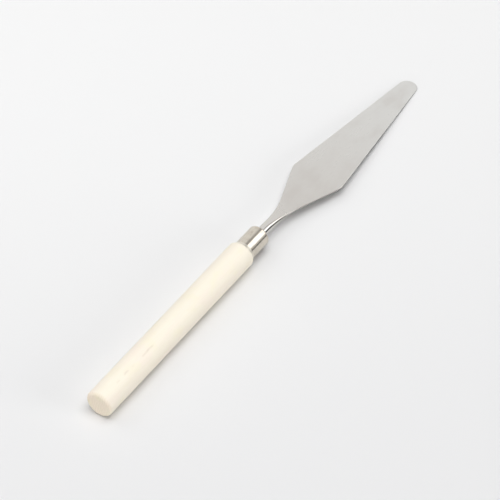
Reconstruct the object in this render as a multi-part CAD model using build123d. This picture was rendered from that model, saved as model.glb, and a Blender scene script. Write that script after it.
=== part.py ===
from build123d import *
from math import acos, asin, atan2, cos, degrees, hypot, radians, sin, sqrt, tan
import os

# Palette knife, millimetres. The tool lies along X with its tip towards +X, and rests on Z = 0
# on the handle's underside and the tip. The origin is below the middle of the whole knife.
# Inside this file the butt is at X = 0 and the handle's axis is at Z = 0, until place() moves it.

# Handle: a turned dowel with a spigot for the ferrule
handle_d = 13.0
handle_len = 106.9            # butt to the shoulder that the ferrule meets
butt_round = 1.5
shoulder_round = 1.1
shoulder_land = 0.1           # flat wood left outside the ferrule's rim
spigot_chamfer = 0.4

# Ferrule: a drawn cup, pushed over the spigot
ferrule_d = 10.4
ferrule_wall = 0.4
ferrule_len = 14.0
ferrule_round = 1.1           # outer corner of the cup's front
ferrule_rim_len = 1.6         # the rim tapers in towards the wood
ferrule_rim_drop = 0.2
ferrule_rim_round = 0.1
ferrule_fit = 0.03            # radial clearance on the spigot
spigot_gap = 1.0              # from the spigot's end to the inside of the cup's front
slot_clearance = 0.15         # round the neck, in the cup's front

# Neck and blade: one forging, ground thin. Stations are measured from the ferrule's front.
blade_len = 126.3
neck_width = 4.8
neck_thick = 4.2
grind_start = 4.5             # hollow-ground stretch, from the neck to the thin blade
grind_end = 28.0
heel_thick = 0.75             # where the hollow grind ends
tip_thick = 0.5
edge_round = 0.45             # edge radius as a share of the thickness there
flare_start = 8.0             # the neck is parallel up to here
flare_radius = 50.0
heel_at = 45.9                # widest point
heel_width = 26.0             # over the two corners, before they are rounded
heel_round = 6.0
tip_radius = 4.6
crank_at = 6.0                # where the blade turns down towards the table

# Tang: a tapered square spike, set in resin
tang_len = 46.0
tang_shoulder = 0.9           # step from the neck to the tang
tang_end = 1.4
resin_film = 0.1              # at the corners of the tang
resin_below = 1.5             # past the end of the tang

# Sizes that follow from the ones above
ferrule_front = handle_len + ferrule_len
spigot_end = ferrule_front - ferrule_wall - spigot_gap
spigot_d = ferrule_d - 2 * ferrule_wall - 2 * ferrule_fit
shoulder_fillet = min(shoulder_round, (handle_d - ferrule_d) / 2 - shoulder_land)
tang_root = min(neck_thick, neck_width) - 2 * tang_shoulder
tang_hole_d = tang_root * sqrt(2) + 2 * resin_film
tip_edge = tip_thick / 2
crank = degrees(asin((handle_d / 2 - tip_edge) / (blade_len - crank_at - tip_edge)))
overall_len = ferrule_front + crank_at + (blade_len - crank_at - tip_edge) * cos(radians(crank)) + tip_edge

# The blade's outline, from the neck's parallel stretch to the tip's arc
neck_half = neck_width / 2
heel_half = heel_width / 2
tip_centre = blade_len - tip_radius
flare_run = heel_at - flare_start
flare_drop = flare_radius - (heel_half - neck_half)
flare_angle = atan2(flare_run, flare_drop) - acos(flare_radius / hypot(flare_run, flare_drop))
flare_end = flare_start + flare_radius * sin(flare_angle)
taper_angle = atan2(heel_half - tip_radius, tip_centre - heel_at)
corner_cut = heel_round * tan((flare_angle + taper_angle) / 2)
corner_start = heel_at - corner_cut * cos(flare_angle)
corner_end = heel_at + corner_cut * cos(taper_angle)


def bar(radius, start, end):
    """A round bar on the handle's axis."""
    return Pos((start + end) / 2, 0, 0) * Rot(0, 90, 0) * Cylinder(radius, end - start)


def half_width(x):
    """Half the blade's width at a station."""
    if x <= flare_start:
        return neck_half
    if x <= flare_end:
        return neck_half + flare_radius - sqrt(flare_radius**2 - (x - flare_start) ** 2)
    if x <= corner_start:
        return heel_half - (heel_at - x) * tan(flare_angle)
    if x < corner_end:
        centre = corner_start + heel_round * sin(flare_angle)
        shoulder = heel_half - corner_cut * sin(flare_angle)
        sunk = shoulder - heel_round * cos(flare_angle)
        return sunk + sqrt(heel_round**2 - (x - centre) ** 2)
    return heel_half - (x - heel_at) * tan(taper_angle)


def thickness(x):
    """Thickness at a station: the full neck, a hollow grind, then an even taper to the tip."""
    if x <= grind_start:
        return neck_thick
    if x >= grind_end:
        return heel_thick - (heel_thick - tip_thick) * (x - grind_end) / (tip_centre - grind_end)
    run, rise = grind_end - grind_start, (neck_thick - heel_thick) / 2
    wheel = (run**2 + rise**2) / (2 * rise)
    return heel_thick + 2 * (wheel - sqrt(wheel**2 - (grind_end - x) ** 2))


def station(x):
    """The plane across the blade at a station, square to its middle line."""
    if x <= crank_at:
        return Plane(origin=(ferrule_front + x, 0, 0), x_dir=(0, 1, 0), z_dir=(1, 0, 0))
    run, turn = x - crank_at, radians(crank)
    origin = (ferrule_front + crank_at + run * cos(turn), 0, -run * sin(turn))
    return Plane(origin=origin, x_dir=(0, 1, 0), z_dir=(cos(turn), 0, -sin(turn)))


def section(x):
    """The blade's section at a station: flat faces and round sides."""
    thick = thickness(x)
    width = 2 * half_width(x)
    return station(x) * RectangleRounded(width, thick, edge_round * min(thick, width))


def stretch(stations, straight=False):
    """A stretch of the blade through its sections."""
    return loft([section(x) for x in stations], ruled=straight)


def steps(start, end, count):
    """Evenly spaced stations."""
    return [start + (end - start) * i / count for i in range(count + 1)]


def make_handle():
    grip = bar(handle_d / 2, 0, handle_len)
    grip = fillet(grip.edges().group_by(Axis.X)[0], butt_round)
    grip = fillet(grip.edges().group_by(Axis.X)[-1], shoulder_fillet)
    spigot = bar(spigot_d / 2, handle_len, spigot_end)
    spigot = chamfer(spigot.edges().group_by(Axis.X)[-1], spigot_chamfer)
    return grip + spigot - tang_hole()


def tang_hole():
    return bar(tang_hole_d / 2, spigot_end - tang_len - resin_below, spigot_end)


def make_ferrule():
    rim = Cone(ferrule_d / 2 - ferrule_rim_drop, ferrule_d / 2, ferrule_rim_len)
    rim = Pos(handle_len + ferrule_rim_len / 2, 0, 0) * Rot(0, 90, 0) * rim
    cup = rim + bar(ferrule_d / 2, handle_len + ferrule_rim_len, ferrule_front)
    cup = fillet(cup.edges().group_by(Axis.X)[-1], ferrule_round)
    cup = fillet(cup.edges().group_by(Axis.X)[0], ferrule_rim_round)
    hollow = bar(ferrule_d / 2 - ferrule_wall, handle_len, ferrule_front - ferrule_wall)
    hollow = fillet(hollow.edges().group_by(Axis.X)[-1], ferrule_round - ferrule_wall)
    slot_width = neck_width + 2 * slot_clearance
    slot_thick = neck_thick + 2 * slot_clearance
    slot_round = edge_round * min(slot_width, slot_thick)
    slot = extrude(station(0) * RectangleRounded(slot_width, slot_thick, slot_round), -2 * ferrule_wall)
    return cup - hollow - slot


def make_tang():
    seat = extrude(section(0), -(ferrule_front - spigot_end))
    root = Plane(origin=(spigot_end, 0, 0), x_dir=(0, 1, 0), z_dir=(1, 0, 0))
    spike = loft([root * Rectangle(tang_root, tang_root), root.offset(-tang_len) * Rectangle(tang_end, tang_end)])
    return seat + spike


def make_tip():
    """The round end: half of the last section, turned half a circle about its middle."""
    half = RectangleRounded(2 * tip_radius, tip_thick, edge_round * tip_thick)
    half = half & Pos(tip_radius, 0) * Rectangle(2 * tip_radius, tip_thick)
    last = station(tip_centre)
    upright = Axis(last.origin, last.y_dir)
    return revolve(last * half, upright, -180)


def make_blade():
    neck = stretch([0, grind_start], straight=True)
    root = stretch(steps(grind_start, flare_end, 7))
    grind = stretch(steps(flare_end, grind_end, 3))
    flare = stretch([grind_end, corner_start], straight=True)
    heel = stretch(steps(corner_start, corner_end, 4))
    taper = stretch([corner_end, tip_centre], straight=True)
    return neck + root + grind + flare + heel + taper + make_tip() + make_tang()


def make_resin(blade):
    return tang_hole() - blade


def place(piece):
    """Move a piece from the handle's axis to the row's own frame."""
    return Pos(-overall_len / 2, 0, handle_d / 2) * piece


blade = make_blade()
pieces = {
    "handle": make_handle(),
    "ferrule": make_ferrule(),
    "blade": blade,
    "tang_resin": make_resin(blade),
}

os.makedirs("parts", exist_ok=True)
for name, piece in pieces.items():
    export_step(place(piece), f"parts/{name}.step")

print(f"overall {overall_len:.2f} mm, crank {crank:.2f} degrees, tang hole {tang_hole_d:.2f} mm")
print(f"flare {degrees(flare_angle):.2f} degrees, taper {degrees(taper_angle):.2f} degrees")
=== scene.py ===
import bmesh
import bpy
from math import acos, atan2, cos, hypot, pi, radians, sin, sqrt, tan
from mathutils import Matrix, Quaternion, Vector, noise


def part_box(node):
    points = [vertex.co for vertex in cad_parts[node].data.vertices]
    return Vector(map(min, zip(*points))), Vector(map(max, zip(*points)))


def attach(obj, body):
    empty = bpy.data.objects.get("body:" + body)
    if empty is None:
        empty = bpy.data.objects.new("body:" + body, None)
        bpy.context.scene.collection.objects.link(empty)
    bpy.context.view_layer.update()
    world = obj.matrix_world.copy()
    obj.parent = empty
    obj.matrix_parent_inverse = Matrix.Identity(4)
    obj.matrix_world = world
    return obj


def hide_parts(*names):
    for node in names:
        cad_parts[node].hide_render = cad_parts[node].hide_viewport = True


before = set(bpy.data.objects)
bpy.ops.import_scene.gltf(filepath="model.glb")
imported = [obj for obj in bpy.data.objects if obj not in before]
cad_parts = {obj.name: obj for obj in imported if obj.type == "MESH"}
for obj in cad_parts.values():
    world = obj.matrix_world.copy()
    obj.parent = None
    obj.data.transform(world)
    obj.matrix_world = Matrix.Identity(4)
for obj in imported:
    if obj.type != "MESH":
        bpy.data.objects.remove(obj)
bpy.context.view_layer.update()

mm = 0.001  # shapes are worked out in millimetres and written in metres


# small helpers for shaders

class Value:
    # a node's output that can be used in sums
    def __init__(self, tree, socket):
        self.tree = tree
        self.socket = socket

    def math(self, kind, first, second=0.0):
        return self.tree.add("ShaderNodeMath", {"operation": kind}, {0: first, 1: second})

    def __add__(self, other):
        return self.math("ADD", self, other)

    def __radd__(self, other):
        return self.math("ADD", other, self)

    def __sub__(self, other):
        return self.math("SUBTRACT", self, other)

    def __rsub__(self, other):
        return self.math("SUBTRACT", other, self)

    def __mul__(self, other):
        return self.math("MULTIPLY", self, other)

    def __rmul__(self, other):
        return self.math("MULTIPLY", other, self)

    def __truediv__(self, other):
        return self.math("DIVIDE", self, other)

    def __rtruediv__(self, other):
        return self.math("DIVIDE", other, self)

    def __abs__(self):
        return self.math("ABSOLUTE", self)

    def fraction(self):
        return self.math("FRACT", self)

    def root(self):
        return self.math("SQRT", self)

    def atLeast(self, floor):
        return self.math("MAXIMUM", self, floor)

    def ease(self, low, high):
        # 0 below low, 1 above high, and a soft step between; also falls when high is under low
        settings = {"interpolation_type": "SMOOTHSTEP"}
        inputs = {"Value": self, "From Min": low, "From Max": high}
        return self.tree.add("ShaderNodeMapRange", settings, inputs)


class Tree:
    def __init__(self, nodeTree):
        self.nodes = nodeTree.nodes
        self.links = nodeTree.links
        self.nodes.clear()

    def pick(self, sockets, key):
        if isinstance(key, int):
            return sockets[key]
        return next((s for s in sockets if s.identifier == key), None) or sockets[key]

    def add(self, kind, settings=None, inputs=None, out=0):
        node = self.nodes.new(kind)
        for key, value in (settings or {}).items():
            setattr(node, key, value)
        for key, value in (inputs or {}).items():
            socket = self.pick(node.inputs, key)
            if isinstance(value, Value):
                self.links.new(value.socket, socket)
            else:
                socket.default_value = value
        return Value(self, self.pick(node.outputs, out)) if node.outputs else None

    def tint(self, factor, first, second, how="MIX"):
        settings = {"data_type": "RGBA", "blend_type": how}
        inputs = {"Factor_Float": factor, "A_Color": first, "B_Color": second}
        return self.add("ShaderNodeMix", settings, inputs, "Result_Color")

    def times(self, vector, factors):
        return self.add("ShaderNodeVectorMath", {"operation": "MULTIPLY"}, {0: vector, 1: factors})

    def parts(self, vector):
        x = self.add("ShaderNodeSeparateXYZ", None, {0: vector}, "X")
        others = x.socket.node.outputs
        return x, Value(self, others["Y"]), Value(self, others["Z"])

    def speckle(self, place, pattern):
        # a pattern is how fast the noise changes along X, Y and Z, then its detail and roughness
        stretch, detail, roughness = pattern
        spot = self.times(place, stretch)
        inputs = {"Vector": spot, "Scale": 1.0, "Detail": detail, "Roughness": roughness}
        return self.add("ShaderNodeTexNoise", {"noise_dimensions": "3D"}, inputs)

    def bump(self, height, strength, depth, under=None):
        # the depth is in millimetres; another bump may lie under this one
        inputs = {"Strength": strength, "Distance": depth * mm, "Height": height}
        if under:
            inputs["Normal"] = under
        return self.add("ShaderNodeBump", None, inputs)

    def millimetres(self):
        place = self.add("ShaderNodeTexCoord", None, None, "Object")
        return self.times(place, (1 / mm, 1 / mm, 1 / mm))


def newMaterial(name):
    material = bpy.data.materials.new(name)
    material.use_nodes = True
    return material, Tree(material.node_tree)


def finishMaterial(tree, inputs):
    shader = tree.add("ShaderNodeBsdfPrincipled", None, inputs)
    tree.add("ShaderNodeOutputMaterial", None, {"Surface": shader})


# small helpers for meshes; shapes are given in millimetres

def joinLoops(bm, loops):
    for near, far in zip(loops, loops[1:]):
        for i in range(len(near)):
            j = (i + 1) % len(near)
            bm.faces.new((near[i], near[j], far[j], far[i]))


def newLoops(bm, rings):
    return [[bm.verts.new(Vector(point) * mm) for point in ring] for ring in rings]


def capEnd(bm, loop, centre):
    middle = bm.verts.new(Vector(centre) * mm)
    for i, vert in enumerate(loop):
        bm.faces.new((loop[(i + 1) % len(loop)], vert, middle))


def finishPiece(bm, name, material, crease=40):
    bmesh.ops.recalc_face_normals(bm, faces=bm.faces)
    mesh = bpy.data.meshes.new(name)
    bm.to_mesh(mesh)
    bm.free()
    mesh.shade_smooth()
    mesh.set_sharp_from_angle(angle=radians(crease))
    mesh.materials.append(material)
    piece = bpy.data.objects.new(name, mesh)
    bpy.context.scene.collection.objects.link(piece)
    return piece


def arc(centreX, centreR, radius, start, end, count):
    # points of a profile's round corner, angles in degrees from +X towards the outside
    turns = [radians(start + (end - start) * i / count) for i in range(count + 1)]
    return [(centreX + radius * cos(a), centreR + radius * sin(a)) for a in turns]


def between(start, end, count):
    return [start + (end - start) * i / count for i in range(count + 1)]


def boxOf(node):
    low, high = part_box(node)
    return [v / mm for v in low], [v / mm for v in high]


# sizes that every piece shares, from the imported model

handleLow, handleHigh = boxOf("handle")
ferruleLow, ferruleHigh = boxOf("ferrule")
bladeLow, bladeHigh = boxOf("blade")
resinLow, resinHigh = boxOf("tang_resin")
axisZ = (handleLow[2] + handleHigh[2]) / 2
handleRadius = (handleHigh[1] - handleLow[1]) / 2
ferruleRadius = (ferruleHigh[1] - ferruleLow[1]) / 2
holeRadius = (resinHigh[1] - resinLow[1]) / 2


handleLook = {
    "buttRound": 1.5, "shoulderRound": 1.1, "spigotChamfer": 0.4,
    "ringPoints": 128, "ringStep": 1.2, "cornerSteps": 12,
    "buttShares": (0.15, 0.35, 0.55, 0.72),     # rings of faces on the flat butt, from its middle
    "sanding": 0.035, "sandingWave": 9.0,       # depth of the hand-sanded hollows, and their length
    "sandingStretch": (0.5, 1.6),               # they are longer along the handle than round it
    "sandingEnd": 6.0,                          # and fade out this far from the ferrule
    "pith": (62.0, 4.0), "ringGap": 0.95,       # middle of the growth rings, and their spacing
    "lean": (0.022, 0.012), "wander": (3.2, 2.1), "ripple": 1.6,     # how the grain leaves the axis
    "pale": (0.925, 0.863, 0.737, 1), "late": (0.85, 0.765, 0.60, 1),
    "rosy": (0.925, 0.835, 0.73, 1), "straw": (0.915, 0.855, 0.695, 1), "blush": 0.8,
    "endTone": (0.95, 0.92, 0.88, 1), "endRing": (0.70, 0.60, 0.47, 1),
    "stain": (0.44, 0.36, 0.25, 1), "stainStrength": 0.25,
    "stainSide": -2.4, "stainWidth": 0.3, "stainDrift": 1.6,
    # the streak's darker dashes: start and end from the butt, and strength
    "stains": (
        (9.4, 13.4, 0.5), (14.9, 19.8, 0.8), (20.0, 24.0, 0.3), (27.7, 34.0, 0.7), (31.5, 37.4, 0.7),
    ),
    "dashFade": 1.8,
    "roughness": 0.52, "bump": 0.35, "bumpDepth": 0.05,
    "patterns": {
        "wander": ((0.012, 0.05, 0.05), 2.0, 0.5), "waves": ((0.1, 0.4, 0.4), 2.0, 0.5),
        "fibre": ((0.05, 2.6, 2.6), 3.0, 0.6), "figure": ((0.018, 0.55, 0.55), 3.0, 0.55),
        "fleck": ((0.28, 3.4, 3.4), 1.0, 0.5), "pores": ((3.2, 3.2, 3.2), 2.0, 0.5),
        "rosy": ((0.06, 0.14, 0.14), 2.0, 0.5), "straw": ((0.1, 0.16, 0.16), 2.0, 0.5),
        "drift": ((0.09, 0.0, 0.0), 2.0, 0.5),
    },
}


def woodMaterial(look):
    material, tree = newMaterial("rawWood")
    place = tree.millimetres()
    x, y, z = tree.parts(place)
    butt, patterns = handleLow[0], look["patterns"]
    # the grain runs a little off the axis and wanders
    wander = tree.speckle(place, patterns["wander"])
    across = y + look["lean"][0] * x + look["wander"][0] * wander - look["pith"][0]
    above = z - look["lean"][1] * x + look["wander"][1] * wander - look["pith"][1]
    radius = (across * across + above * above).root()
    waves = tree.speckle(place, patterns["waves"])
    ring = (radius / look["ringGap"] + look["ripple"] * waves).fraction()
    late = ring.ease(0.35, 0.93) * ring.ease(1.0, 0.93)
    fibre = tree.speckle(place, patterns["fibre"])
    figure = tree.speckle(place, patterns["figure"])
    fleck = tree.speckle(place, patterns["fleck"]).ease(0.66, 0.76)
    rosy = tree.speckle(place, patterns["rosy"]).ease(0.45, 0.68)
    straw = tree.speckle(place, patterns["straw"]).ease(0.5, 0.68)
    colour = tree.tint(rosy * look["blush"], look["pale"], look["rosy"])
    colour = tree.tint(straw * look["blush"], colour, look["straw"])
    colour = tree.tint(late * 0.1 + figure.ease(0.45, 0.75) * 0.12, colour, look["late"])
    colour = tree.tint(fibre.ease(0.5, 0.8) * 0.16 + fleck * 0.25, colour, look["late"])
    # end grain on the butt: rings and pores show more
    endFace = x.ease(butt + look["buttRound"] * 1.2, butt + 0.1)
    pores = tree.speckle(place, patterns["pores"]).ease(0.55, 0.75)
    endColour = tree.tint(1.0, colour, look["endTone"], "MULTIPLY")
    endColour = tree.tint(late * 0.3 + pores * 0.35, endColour, look["endRing"])
    colour = tree.tint(endFace, colour, endColour)
    # one thin mineral streak, broken along its length
    drift = (tree.speckle(place, patterns["drift"]) - 0.5) * look["stainDrift"]
    offLine = abs(y - drift - look["stainSide"])
    dashes, fade = 0.0, look["dashFade"]
    for start, end, strength in look["stains"]:
        dash = x.ease(butt + start, butt + start + fade) * x.ease(butt + end, butt + end - fade)
        dashes = dash * strength + dashes
    line = offLine.ease(look["stainWidth"] * 2.2, look["stainWidth"] * 0.3)
    onTop = z.ease(axisZ, axisZ + 2)
    colour = tree.tint(line * dashes * onTop * look["stainStrength"], colour, look["stain"])
    height = fibre * 0.6 + fleck * -0.8 + late * 0.25 + pores * endFace * -0.8
    rough = look["roughness"] + 0.16 * fibre + 0.1 * endFace
    bump = tree.bump(height, look["bump"], look["bumpDepth"])
    finishMaterial(tree, {
        "Base Color": colour, "Roughness": rough, "Normal": bump, "IOR": 1.45, "Specular IOR Level": 0.35,
    })
    return material


def makeHandle(look):
    butt, shoulder, spigotEnd = handleLow[0], ferruleLow[0], handleHigh[0]
    spigot = ferruleRadius - ferruleLook["wall"] - ferruleLook["fit"]
    profile = [(butt, handleRadius * share) for share in look["buttShares"]]
    corner, far, steps = look["buttRound"], look["shoulderRound"], look["cornerSteps"]
    profile += arc(butt + corner, handleRadius - corner, corner, 180, 90, steps)
    grip = between(butt + corner, shoulder - far, int((shoulder - butt) / look["ringStep"]))
    profile += [(x, handleRadius) for x in grip[1:-1]]
    profile += arc(shoulder - far, handleRadius - far, far, 90, 0, steps)
    profile += [(shoulder, spigot), (spigotEnd - look["spigotChamfer"], spigot)]
    profile += [(spigotEnd, spigot - look["spigotChamfer"]), (spigotEnd, holeRadius)]
    profile += [(resinLow[0], holeRadius)]
    rings = []
    lengthways, crossways = look["sandingStretch"]
    for x, r in profile:
        # hollows from sanding by hand only take wood away, and stop before the ferrule
        fade = max(0.0, min(1.0, (shoulder - x) / look["sandingEnd"])) if r > ferruleRadius else 0.0
        ring = []
        for i in range(look["ringPoints"]):
            turn = 2 * pi * i / look["ringPoints"]
            probe = Vector((x * lengthways, r * cos(turn) * crossways, r * sin(turn) * crossways))
            probe /= look["sandingWave"]
            out = r - look["sanding"] * fade * (0.5 + 0.5 * noise.noise(probe))
            ring.append((x, out * cos(turn), axisZ + out * sin(turn)))
        rings.append(ring)
    bm = bmesh.new()
    loops = newLoops(bm, rings)
    joinLoops(bm, loops)
    capEnd(bm, loops[0], (butt, 0, axisZ))
    capEnd(bm, loops[-1], (resinLow[0], 0, axisZ))
    return finishPiece(bm, "woodHandle", woodMaterial(look))


ferruleLook = {
    "wall": 0.4, "fit": 0.03, "cornerRound": 1.1, "slotClearance": 0.15,
    "rimLength": 1.6, "rimDrop": 0.2, "rimRound": 0.1,     # the rim tapers in towards the wood
    "slotSoft": 0.12,                                      # worn edge of the slot
    "ringPoints": 128, "cornerSteps": 12, "bodyRings": 22,
    "rimShares": (0.3, 0.6, 0.85, 1.0), "frontShares": (0.9, 0.78),     # rings on the rim and the front
    "dent": 0.03, "dentAlong": 0.6, "dentRound": 2.2,      # painted shade in the joint against the wood
    "jointShadeFull": 0.3, "jointShadeEnd": 0.7,                   # dirt against the wood
    "nickel": (0.66, 0.61, 0.53, 1), "dull": (0.585, 0.53, 0.455, 1),
    # the rim colour below is a painted reflection of the wood in the nickel
    "woodReflection": (0.86, 0.81, 0.71, 1), "tarnishAndShade": (0.24, 0.20, 0.16, 1),
    "roughness": 0.11, "rimRoughness": 0.16,
    "patterns": {
        "drawn": ((0.12, 5.0, 5.0), 2.0, 0.5), "smudge": ((0.35, 0.35, 0.35), 3.0, 0.6),
        "clouds": ((1.2, 0.8, 0.8), 2.0, 0.5), "spots": ((0.9, 1.6, 1.6), 2.0, 0.5),
    },
}


def nickelMaterial(look):
    material, tree = newMaterial("nickelPlate")
    place = tree.millimetres()
    drawn, smudge, clouds, spots = (
        tree.speckle(place, look["patterns"][name]) for name in ("drawn", "smudge", "clouds", "spots"))
    colour = tree.tint(smudge.ease(0.4, 0.7) * 0.5, look["nickel"], look["dull"])
    # small tarnished spots, and painted shade in the joint against the wood
    x = tree.parts(place)[0]
    start, rimEnd = ferruleLow[0], ferruleLow[0] + look["rimLength"]
    jointShade = x.ease(start + look["jointShadeEnd"], start + look["jointShadeFull"])
    colour = tree.tint(spots.ease(0.6, 0.75) * 0.35 + jointShade * 0.8, colour, look["tarnishAndShade"])
    # painted reflection of the wood on the tapered rim, which is also a little rough
    rim = x.ease(rimEnd + 0.1, rimEnd - 0.1)
    colour = tree.tint(rim * (1 - jointShade) * 0.7, colour, look["woodReflection"])
    rough = look["roughness"] + 0.07 * smudge + 0.04 * drawn + look["rimRoughness"] * rim
    bump = tree.bump(drawn, 0.12, 0.01, under=tree.bump(clouds, 0.25, 0.06))
    finishMaterial(tree, {"Base Color": colour, "Metallic": 1.0, "Roughness": rough, "Normal": bump})
    return material


def slotRing(x, turns, grow):
    # the slot in the ferrule's front: the neck's outline and its clearance
    halfWide = bladeLook["neckWidth"] / 2 + ferruleLook["slotClearance"] + grow
    halfTall = bladeLook["neckThick"] / 2 + ferruleLook["slotClearance"] + grow
    corner = 2 * bladeLook["edgeRound"] * min(halfWide, halfTall)
    ring = []
    for turn in turns:
        y = (halfWide - corner) * (1 if cos(turn) > 0 else -1) + corner * cos(turn)
        z = (halfTall - corner) * (1 if sin(turn) > 0 else -1) + corner * sin(turn)
        ring.append((x, y, axisZ + z))
    return ring


def makeFerrule(look):
    rim, front = ferruleLow[0], ferruleHigh[0]
    outer, inner = ferruleRadius, ferruleRadius - look["wall"]
    corner, rimRound = look["cornerRound"], look["rimRound"]
    inRound = corner - look["wall"]
    rimOuter, rimEnd = outer - look["rimDrop"], rim + look["rimLength"]
    turns = [2 * pi * (i + 0.5) / look["ringPoints"] for i in range(look["ringPoints"])]

    def circle(x, r):
        along, across = look["dentAlong"], look["dentRound"]
        ring = []
        for turn in turns:
            probe = Vector((x * along, cos(turn) * across, sin(turn) * across))
            worn = look["dent"] * (0.5 + 0.5 * noise.noise(probe)) if r > inner else 0.0
            ring.append((x, (r - worn) * cos(turn), axisZ + (r - worn) * sin(turn)))
        return ring

    outside = arc(rim + rimRound, rimOuter - rimRound, rimRound, 180, 95, 5)
    run, rise = rimEnd - rim - rimRound, outer - rimOuter
    outside += [(rim + rimRound + run * share, rimOuter + rise * share) for share in look["rimShares"]]
    outside += [(x, outer) for x in between(rimEnd + 0.15, front - corner, look["bodyRings"])[:-1]]
    outside += arc(front - corner, outer - corner, corner, 90, 0, look["cornerSteps"])
    outside += [(front, (outer - corner) * share) for share in look["frontShares"]]
    inside = [(front - look["wall"], inner - inRound)]
    inside += arc(front - corner, inner - inRound, inRound, 0, 90, 6)[1:]
    inside += [(rim, inner)]
    rings = [circle(x, r) for x, r in outside]
    soft = look["slotSoft"]
    slotEdge = ((front, soft), (front - soft / 4, soft / 4), (front - soft, 0), (front - look["wall"], 0))
    rings += [slotRing(x, turns, grow) for x, grow in slotEdge]
    rings += [circle(x, r) for x, r in inside]
    # the last ring meets the first one round the rim's edge
    bm = bmesh.new()
    loops = newLoops(bm, rings)
    joinLoops(bm, loops + loops[:1])
    return finishPiece(bm, "nickelFerrule", nickelMaterial(look))


bladeLook = {
    "neckWidth": 4.8, "neckThick": 4.2, "heelThick": 0.75, "tipThick": 0.5,
    "grindStart": 4.5, "grindEnd": 28.0, "grindBlend": 2.0, "edgeRound": 0.45,
    "flareStart": 8.0, "flareRadius": 50.0, "heelAt": 45.9, "heelWidth": 26.0, "heelRound": 6.0,
    "tipRadius": 4.6, "bendAt": 6.0, "bendHalf": 3.0,
    "tangRoot": 2.4, "tangEnd": 1.4, "tangPoint": (0.3, 0.4),     # length and narrowing of its end
    "faceShares": (0, 0.1, 0.2, 0.3, 0.4, 0.5, 0.6, 0.7, 0.8, 0.88, 0.94, 0.98), "cornerPoints": 8,
    "rows": (16, 26, 22, 14, 48),       # along the neck, flare, straight side, heel and taper
    "tipRows": 36,
    "polishFull": 5.0, "polishEnd": 20.0,     # from the ferrule, as are the other ends below
    "darkBandSide": (1.5, 1.7), "darkBandTop": (1.65, 1.45), "darkBandUnder": (0.8, 1.0), "darkBandDrop": 0.13,
    "darkBandFull": 12.0, "darkBandEnd": 21.0, "edgeShadeStart": 16.0, "edgeShadeFull": 28.0,
    "steel": (0.665, 0.64, 0.605, 1), "steelTipSheen": (0.745, 0.738, 0.715, 1),
    # the dark colour paints a dark reflection on the neck and painted shade on the blade's thin sides
    "steelWarm": (0.605, 0.565, 0.53, 1), "paintedDark": (0.16, 0.15, 0.14, 1),
    "satinRoughness": 0.3, "polishRoughness": 0.06, "bump": 0.03, "bumpDepth": 0.02,
    "patterns": {
        "brushed": ((0.10, 4.5, 4.5), 3.0, 0.6), "fine": ((0.4, 14.0, 14.0), 2.0, 0.5),
        "mottle": ((0.08, 0.14, 0.14), 3.0, 0.55),
    },
}


# the blade's run down to the table, and the middle of its round tip
tipEdge = bladeLook["tipThick"] / 2
reach = bladeHigh[0] - ferruleHigh[0] - bladeLook["bendAt"] - tipEdge
crank = atan2(axisZ - tipEdge, reach)
tipCentre = bladeLook["bendAt"] + hypot(axisZ - tipEdge, reach) + tipEdge - bladeLook["tipRadius"]


def steelMaterial(look):
    material, tree = newMaterial("groundSteel")
    front = ferruleHigh[0]
    place = tree.millimetres()
    x, y, z = tree.parts(place)
    polish = tree.add("ShaderNodeAttribute", {"attribute_name": "polish"}, None, "Fac")
    satin = 1 - polish
    brushed, fine, mottle = (
        tree.speckle(place, look["patterns"][name]) for name in ("brushed", "fine", "mottle"))
    # painted reflection: the steel is painted lighter and cooler towards the tip
    colour = tree.tint(x.ease(front, bladeHigh[0]), look["steel"], look["steelTipSheen"])
    colour = tree.tint(mottle.ease(0.4, 0.75) * 0.35, colour, look["steelWarm"])
    colour = tree.tint(brushed.ease(0.4, 0.85) * satin * 0.06, colour, look["steelWarm"])
    uneven = 0.10 * (mottle - 0.5) + 0.10 * (brushed - 0.5)
    rough = look["polishRoughness"] + satin * (look["satinRoughness"] - look["polishRoughness"] + uneven)
    height = (brushed * 0.7 + fine * 0.3) * satin
    bump = tree.bump(height, look["bump"], look["bumpDepth"])
    # painted dark reflection: a dark line painted along the neck's sides, which drops as the neck gets
    # thinner
    lift = z - axisZ + (x - front - look["grindStart"]).atLeast(0.0) * look["darkBandDrop"]
    reflectionBand = lift.ease(*look["darkBandTop"]) * lift.ease(*look["darkBandUnder"])
    reaches = x.ease(front + look["darkBandEnd"], front + look["darkBandFull"])
    colour = tree.tint(abs(y).ease(*look["darkBandSide"]) * reflectionBand * reaches * 0.95, colour, look["paintedDark"])
    # painted shade: the thin sides of the blade are painted darker than its faces, further out along the
    # blade
    facing = tree.add("ShaderNodeNewGeometry", None, None, "Normal")
    side = abs(tree.parts(facing)[2]).ease(0.95, 0.6)
    side = side * x.ease(front + look["edgeShadeStart"], front + look["edgeShadeFull"])
    colour = tree.tint(side * 0.5, colour, look["paintedDark"])
    finishMaterial(tree, {"Base Color": colour, "Metallic": 1.0, "Roughness": rough, "Normal": bump})
    return material


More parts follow.
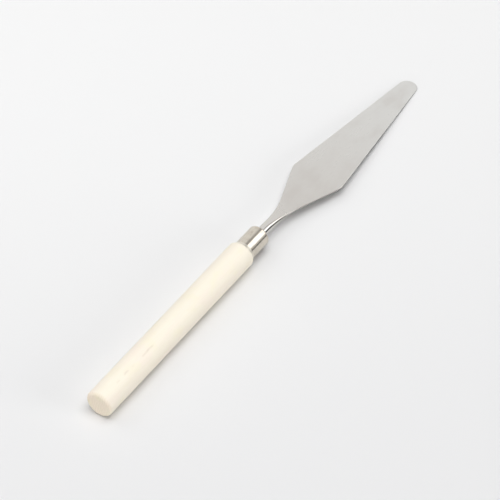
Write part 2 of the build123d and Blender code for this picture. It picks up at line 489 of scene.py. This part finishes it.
def bladeOutline(look):
    # half the width at a distance from the ferrule, and where its stretches meet
    neckHalf, heelHalf = look["neckWidth"] / 2, look["heelWidth"] / 2
    start, radius = look["flareStart"], look["flareRadius"]
    heelAt, heelRound = look["heelAt"], look["heelRound"]
    run, drop = heelAt - start, radius - (heelHalf - neckHalf)
    flare = atan2(run, drop) - acos(radius / hypot(run, drop))
    taper = atan2(heelHalf - look["tipRadius"], tipCentre - heelAt)
    cut = heelRound * tan((flare + taper) / 2)
    flareEnd, cornerStart = start + radius * sin(flare), heelAt - cut * cos(flare)
    cornerEnd = heelAt + cut * cos(taper)
    sunk = heelHalf - cut * sin(flare) - heelRound * cos(flare)

    def halfWidth(x):
        if x <= start:
            return neckHalf
        if x <= flareEnd:
            return neckHalf + radius - sqrt(radius**2 - (x - start) ** 2)
        if x <= cornerStart:
            return heelHalf - (heelAt - x) * tan(flare)
        if x < cornerEnd:
            return sunk + sqrt(heelRound**2 - (x - cornerStart - heelRound * sin(flare)) ** 2)
        return heelHalf - (x - heelAt) * tan(taper)

    return halfWidth, flareEnd, cornerStart, cornerEnd


def thickness(look, x):
    # the full neck, a hollow grind, then an even taper to the tip
    start, end = look["grindStart"], look["grindEnd"]
    if x >= end:
        thinning = (look["tipThick"] - look["heelThick"]) * (x - end)
        return look["heelThick"] + thinning / (tipCentre - end)
    # the grind begins softly
    half = look["grindBlend"]
    if x <= start - half:
        return look["neckThick"]
    x = x if x > start + half else start + (x - start + half) ** 2 / (4 * half)
    rise = (look["neckThick"] - look["heelThick"]) / 2
    wheel = ((end - start) ** 2 + rise**2) / (2 * rise)
    return look["heelThick"] + 2 * (wheel - sqrt(wheel**2 - (end - x) ** 2))


def smooth(low, high, value):
    share = max(0.0, min(1.0, (value - low) / (high - low)))
    return share * share * (3 - 2 * share)


def halfSection(look, half, thick, x):
    # from the middle of the top, round one side, to the middle of the underside, with the polish
    corner = look["edgeRound"] * thick
    flat = half - corner
    neckPolish = 1 - smooth(look["polishFull"], look["polishEnd"], x)
    top = [(flat * share, thick / 2, neckPolish) for share in look["faceShares"]]
    side = []
    for i in range(look["cornerPoints"] + 1):
        turn = pi / 2 * i / look["cornerPoints"]
        side.append((flat + corner * sin(turn), thick / 2 - corner + corner * cos(turn), neckPolish))
    lower = [(y, -z, p) for y, z, p in reversed(top + side)]
    return top + side + lower


def bend(look, x, lift):
    # the middle line turns down in one short even curve
    start, end = look["bendAt"] - look["bendHalf"], look["bendAt"] + look["bendHalf"]
    front = ferruleHigh[0]
    if x <= start:
        return front + x, axisZ + lift
    if x < end:
        turn = crank * (x - start) / (end - start)
        radius = look["bendHalf"] / tan(crank / 2)
        return front + start + (radius + lift) * sin(turn), axisZ - radius + (radius + lift) * cos(turn)
    along = x - look["bendAt"]
    middleX, middleZ = front + look["bendAt"] + along * cos(crank), axisZ - along * sin(crank)
    return middleX + lift * sin(crank), middleZ + lift * cos(crank)


def makeBlade(look):
    halfWidth, flareEnd, cornerStart, cornerEnd = bladeOutline(look)
    bm = bmesh.new()
    polishLayer = bm.verts.layers.float.new("polish")

    def newVert(x, y, lift, polish):
        px, pz = bend(look, x, lift)
        vert = bm.verts.new(Vector((px, y, pz)) * mm)
        vert[polishLayer] = polish
        return vert

    stops = (0, look["flareStart"], flareEnd, cornerStart, cornerEnd, tipCentre)
    stations = [0]
    for start, end, count in zip(stops, stops[1:], look["rows"]):
        stations += between(start, end, count)[1:]
    loops = []
    for x in stations:
        half = halfSection(look, halfWidth(x), thickness(look, x), x)
        right = [newVert(x, y, z, p) for y, z, p in half]
        left = [newVert(x, -y, z, p) for y, z, p in half[1:-1]]
        loops.append(right + left[::-1])
    # the seat behind the ferrule's front, then the tapered square tang
    seatEnd = handleHigh[0] - ferruleHigh[0]
    tangEnd = bladeLow[0] - ferruleHigh[0]
    neck = halfSection(look, halfWidth(0), thickness(look, 0), 0)
    whole = [(y, z) for y, z, p in neck] + [(-y, z) for y, z, p in neck[1:-1]][::-1]
    back = [[newVert(seatEnd, y * share, z * share, 1.0) for y, z in whole] for share in (1.0, 0.97)]
    root, end, (pointLength, pointDrop) = look["tangRoot"], look["tangEnd"], look["tangPoint"]
    for x, side in ((seatEnd, root), (tangEnd + pointLength, end), (tangEnd, end - pointDrop)):
        ring = []
        for y, z in whole:
            spread = side / 2 / max(abs(y), abs(z))
            ring.append(newVert(x, y * spread, z * spread, 0.4))
        back.append(ring)
    loops = back[::-1] + loops
    joinLoops(bm, loops)
    capEnd(bm, loops[0], (bladeLow[0], 0, axisZ))
    # round tip: the last section's right half, swung round to its left half
    last, count = loops[-1], len(neck)
    tip = halfSection(look, look["tipRadius"], look["tipThick"], tipCentre)
    edge = last[:count]
    finalEdge = [last[-i] for i in range(count)]
    for k in range(1, look["tipRows"] + 1):
        turn = pi * k / look["tipRows"]
        following = finalEdge
        if k < look["tipRows"]:
            swung = [newVert(tipCentre + y * sin(turn), y * cos(turn), z, p) for y, z, p in tip[1:-1]]
            following = [edge[0]] + swung + [edge[-1]]
        for i in range(count - 1):
            corners = [edge[i], edge[i + 1], following[i + 1], following[i]]
            bm.faces.new(list(dict.fromkeys(corners)))
        edge = following
    return finishPiece(bm, "steelBlade", steelMaterial(look), crease=50)


handle = makeHandle(handleLook)
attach(handle, "root")
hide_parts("handle")
print("handle:", len(handle.data.polygons), "faces")

ferrule = makeFerrule(ferruleLook)
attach(ferrule, "root")
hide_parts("ferrule")
print("ferrule:", len(ferrule.data.polygons), "faces")

blade = makeBlade(bladeLook)
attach(blade, "root")
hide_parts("blade")
print("blade:", len(blade.data.polygons), "faces")


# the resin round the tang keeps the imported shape

resinLook = {
    "amber": (0.42, 0.20, 0.045, 1), "dark": (0.22, 0.09, 0.02, 1), "roughness": 0.18,
    "cloud": ((0.5, 0.5, 0.5), 3.0, 0.5), "ripple": ((2.0, 2.0, 2.0), 2.0, 0.5),
}


def resinMaterial(look):
    material, tree = newMaterial("curedResin")
    place = tree.millimetres()
    cloud = tree.speckle(place, look["cloud"])
    colour = tree.tint(cloud.ease(0.35, 0.7), look["amber"], look["dark"])
    rough = look["roughness"] + 0.15 * cloud
    bump = tree.bump(tree.speckle(place, look["ripple"]), 0.2, 0.03)
    finishMaterial(tree, {"Base Color": colour, "Roughness": rough, "Normal": bump, "Coat Weight": 0.4})
    return material


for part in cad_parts["tang_resin"].material_slots:
    part.material = resinMaterial(resinLook)
print("resin: new material")


def direction(turn, rise):
    turn, rise = radians(turn), radians(rise)
    return Vector((cos(rise) * cos(turn), cos(rise) * sin(turn), sin(rise)))


# paper painted lighter towards one corner: a painted pool of light
floorLook = {
    "size": 12.0, "squares": 12, "roughness": 0.7, "lightPoolTurn": 50.0, "lightPoolReach": 0.22,
    "paper": (0.885, 0.885, 0.885, 1), "shade": (0.755, 0.755, 0.76, 1),
    "cloud": ((3.0, 3.0, 3.0), 2.0, 0.5),
}


def makeFloor(look):
    material, tree = newMaterial("palePaper")
    place = tree.add("ShaderNodeTexCoord", None, None, "Object")
    x, y = tree.parts(place)[:2]
    toward = direction(look["lightPoolTurn"], 0)
    cloud = tree.speckle(place, look["cloud"])
    # painted light: the paper is lighter towards one corner and darker towards the other
    fade = (x * toward.x + y * toward.y).ease(-look["lightPoolReach"], look["lightPoolReach"])
    colour = tree.tint(fade + 0.04 * (cloud - 0.5), look["shade"], look["paper"])
    rough = look["roughness"] + 0.1 * cloud
    finishMaterial(tree, {"Base Color": colour, "Roughness": rough, "Specular IOR Level": 0.2})
    bm = bmesh.new()
    squares = look["squares"]
    bmesh.ops.create_grid(bm, x_segments=squares, y_segments=squares, size=look["size"] / 2)
    mesh = bpy.data.meshes.new("floor")
    bm.to_mesh(mesh)
    bm.free()
    mesh.materials.append(material)
    floor = bpy.data.objects.new("floor", mesh)
    bpy.context.scene.collection.objects.link(floor)


studio = {
    "strength": 1.19,                 # brightness of the white room, which only the metal reflects
    "dark": 0.04, "darkTurn": -62.0, "darkWide": 48.0,      # an unlit stretch low on one side
    "darkLow": -0.02, "darkHigh": 0.43,
    "panelTurn": -37.4, "panelRise": 44.2, "panelTilt": -47.7, "panelLight": 2.15,
    "panelSide": (-0.16, 0.27), "panelUp": (-0.06, 0.31),   # middle and half size, both ways
    "panelEdge": 0.03,
    "borderFull": 0.5, "borderEnd": 0.95, "borderTone": 0.5,     # a dim stretch above the panel
    "backdrop": (0.86, 0.86, 0.86, 1),
}

# soft lamps, which light everything but don't show in the metal
lamps = {
    "overhead": {"turn": -90.0, "rise": 83.0, "distance": 1.6, "size": 1.44, "power": 14.8},
    "ceiling": {"turn": 90.0, "rise": 84.0, "distance": 1.6, "size": 3.2, "power": 17.2},
    "lowRight": {"turn": -80.0, "rise": 16.0, "distance": 1.2, "size": 0.5, "power": 4.0},
    "lowLeft": {"turn": 100.0, "rise": 40.0, "distance": 1.2, "size": 0.9, "power": 2.8},
    "lowBehind": {"turn": 185.0, "rise": 12.0, "distance": 1.2, "size": 0.6, "power": 4.3},
}


def makeWorld(look):
    world = bpy.data.worlds.new("studio")
    world.use_nodes = True
    world.cycles_visibility.diffuse = False
    bpy.context.scene.world = world
    tree = Tree(world.node_tree)
    way = tree.add("ShaderNodeTexCoord", None, None, "Generated")
    x, y, z = tree.parts(way)

    def along(axis):
        return x * axis.x + y * axis.y + z * axis.z

    # white all round, but for a dark stretch low on the right
    level = (x * x + y * y).root()
    side = direction(look["darkTurn"], 0)
    edge = cos(radians(look["darkWide"]))
    sideways = ((x * side.x + y * side.y) / level).ease(edge - 0.2, edge + 0.1)
    low = z.ease(look["darkHigh"], look["darkLow"])
    room = 1 - (1 - look["dark"]) * sideways * low
    # a soft panel of light, high on the right
    facing = direction(look["panelTurn"], look["panelRise"])
    flatWay = facing.cross(Vector((0, 0, 1))).normalized()
    sideWay = Quaternion(facing, radians(look["panelTilt"])) @ flatWay
    upWay = sideWay.cross(facing)
    depth = along(facing)
    ahead = depth.ease(0.1, 0.3)
    sidePlace, upPlace = along(sideWay) / depth, along(upWay) / depth
    (sideMiddle, sideHalf), (upMiddle, upHalf) = look["panelSide"], look["panelUp"]
    inSide = abs(sidePlace - sideMiddle).ease(sideHalf + look["panelEdge"], sideHalf)
    inUp = abs(upPlace - upMiddle).ease(upHalf + look["panelEdge"], upHalf)
    border = upPlace.ease(look["borderEnd"], look["borderFull"]) * upPlace.ease(0.0, 0.2)
    room = room + border * ahead * (look["borderTone"] - room)
    room = room + inSide * inUp * ahead * (look["panelLight"] - room)
    lit = tree.add("ShaderNodeBackground", None, {"Strength": room * look["strength"]})
    plain = tree.add("ShaderNodeBackground", None, {"Color": look["backdrop"]})
    seen = tree.add("ShaderNodeLightPath", None, None, "Is Camera Ray")
    both = tree.add("ShaderNodeMixShader", None, {0: seen, 1: lit, 2: plain})
    tree.add("ShaderNodeOutputWorld", None, {"Surface": both})


def makeLamp(name, look):
    lamp = bpy.data.lights.new(name, "AREA")
    lamp.shape = "DISK"
    lamp.size = look["size"]
    lamp.energy = look["power"]
    light = bpy.data.objects.new(name, lamp)
    away = direction(look["turn"], look["rise"])
    light.location = away * look["distance"]
    light.rotation_euler = away.to_track_quat("Z", "Y").to_euler()
    light.visible_camera = False
    light.visible_glossy = False
    bpy.context.scene.collection.objects.link(light)


viewpoint = {
    "turn": 214.35, "rise": 46.39, "distance": 1.4602,     # where the camera stands, seen from its aim
    "lens": 237.6, "sensor": 36.0, "aim": (-0.0078, 0.0017, 0.0),
}


def makeCamera(look):
    data = bpy.data.cameras.new("camera")
    data.lens = look["lens"]
    data.sensor_width = look["sensor"]
    camera = bpy.data.objects.new("camera", data)
    back = direction(look["turn"], look["rise"])
    camera.location = Vector(look["aim"]) + back * look["distance"]
    camera.rotation_euler = back.to_track_quat("Z", "Y").to_euler()
    bpy.context.scene.collection.objects.link(camera)
    bpy.context.scene.camera = camera


makeFloor(floorLook)
makeWorld(studio)
for name, look in lamps.items():
    makeLamp(name, look)
makeCamera(viewpoint)
bpy.context.scene.view_settings.view_transform = "Standard"
print("studio: floor, world, light and camera")
